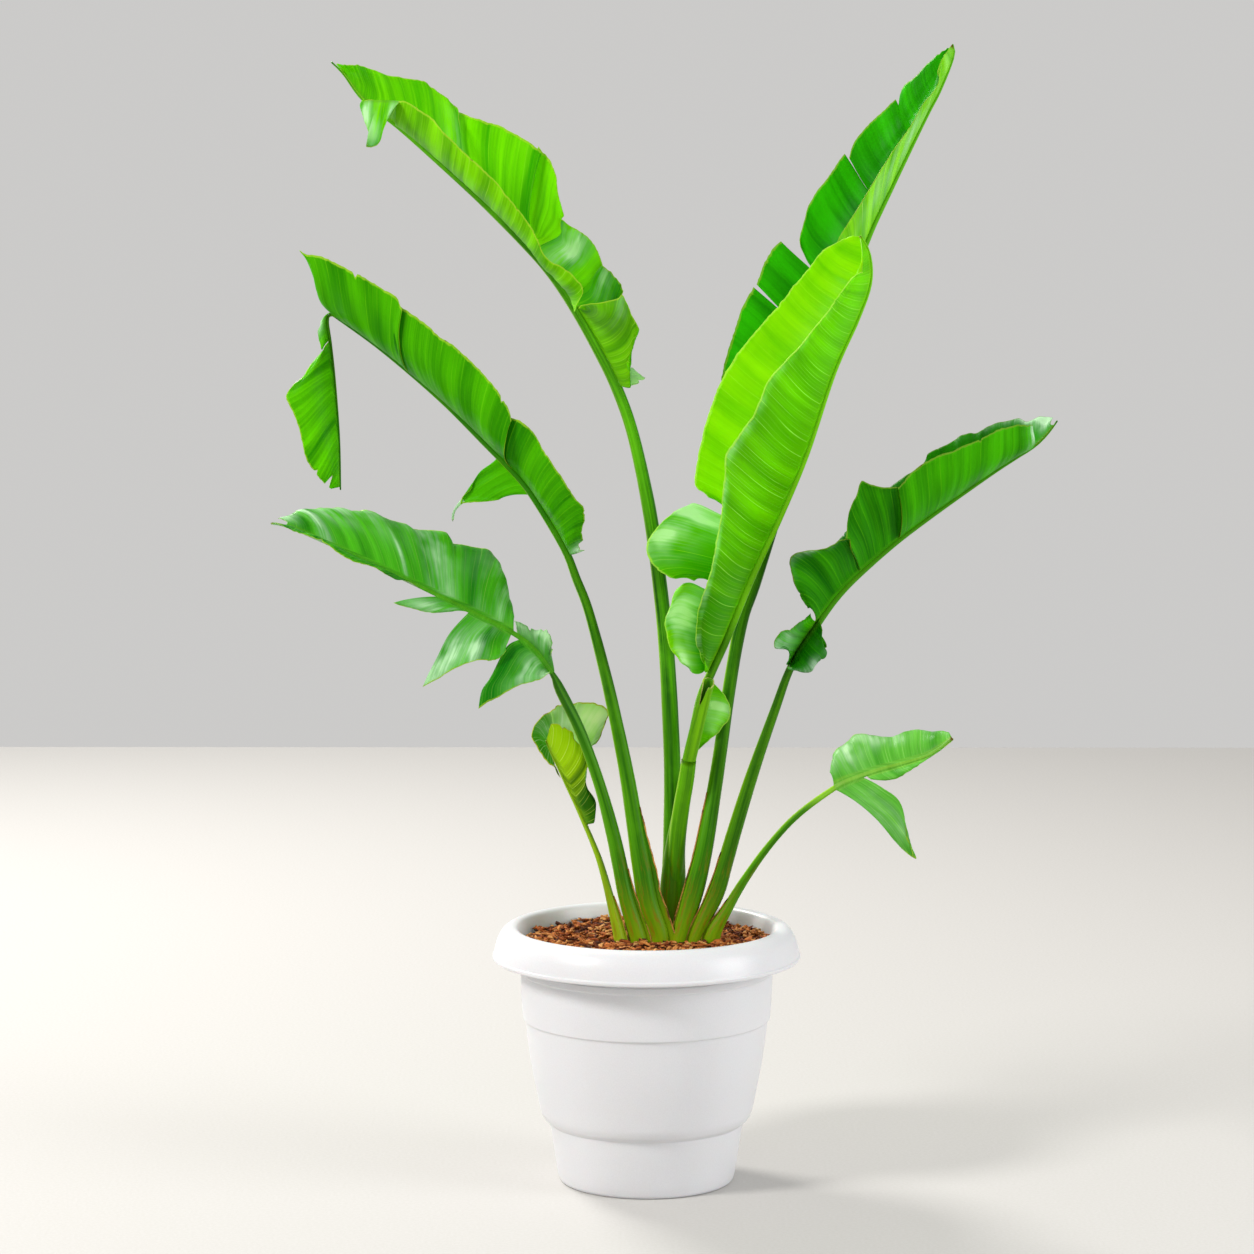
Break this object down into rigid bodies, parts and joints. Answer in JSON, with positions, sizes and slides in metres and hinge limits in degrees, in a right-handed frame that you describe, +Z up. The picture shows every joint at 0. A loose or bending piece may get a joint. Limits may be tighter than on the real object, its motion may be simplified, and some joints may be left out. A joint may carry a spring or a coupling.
{
  "type": "potted traveller's palm",
  "caption": "Traveller's palm in a round white plastic pot: a flat fan of torn, paddle-shaped green leaves on long stalks over bark chips.",
  "frame": {"origin": "centre of the pot's underside, on the floor", "axes": "+Z up along the pot's axis; X along the fan of leaves, +X to the right seen from the front; -Y towards the front"},
  "size_m": [0.7742, 0.308, 1.1313],
  "materials": {
    "pot_plastic": "satin",
    "potting_soil": "matte",
    "bark": "matte",
    "crown_tissue": "matte",
    "stalk": "satin",
    "leaf": "satin"
  },
  "bodies": {
    "root": {"pot": "pot_plastic", "soil": "potting_soil", "root_crown": "crown_tissue", "bark_chips": "bark", "sprout_stalk": "stalk", "sprout_blade": "leaf", "lower_left_stalk": "stalk", "lower_left_blade": "leaf", "middle_left_stalk": "stalk", "middle_left_blade": "leaf", "upper_left_stalk": "stalk", "upper_left_blade": "leaf", "young_stalk": "stalk", "young_blade": "leaf", "upper_right_stalk": "stalk", "upper_right_blade": "leaf", "middle_right_stalk": "stalk", "middle_right_blade": "leaf", "lower_right_stalk": "stalk", "lower_right_blade": "leaf", "middle_left_snapped_rib": "stalk", "middle_left_snapped_blade": "leaf", "young_stub": "stalk"}
  },
  "joints": []
}
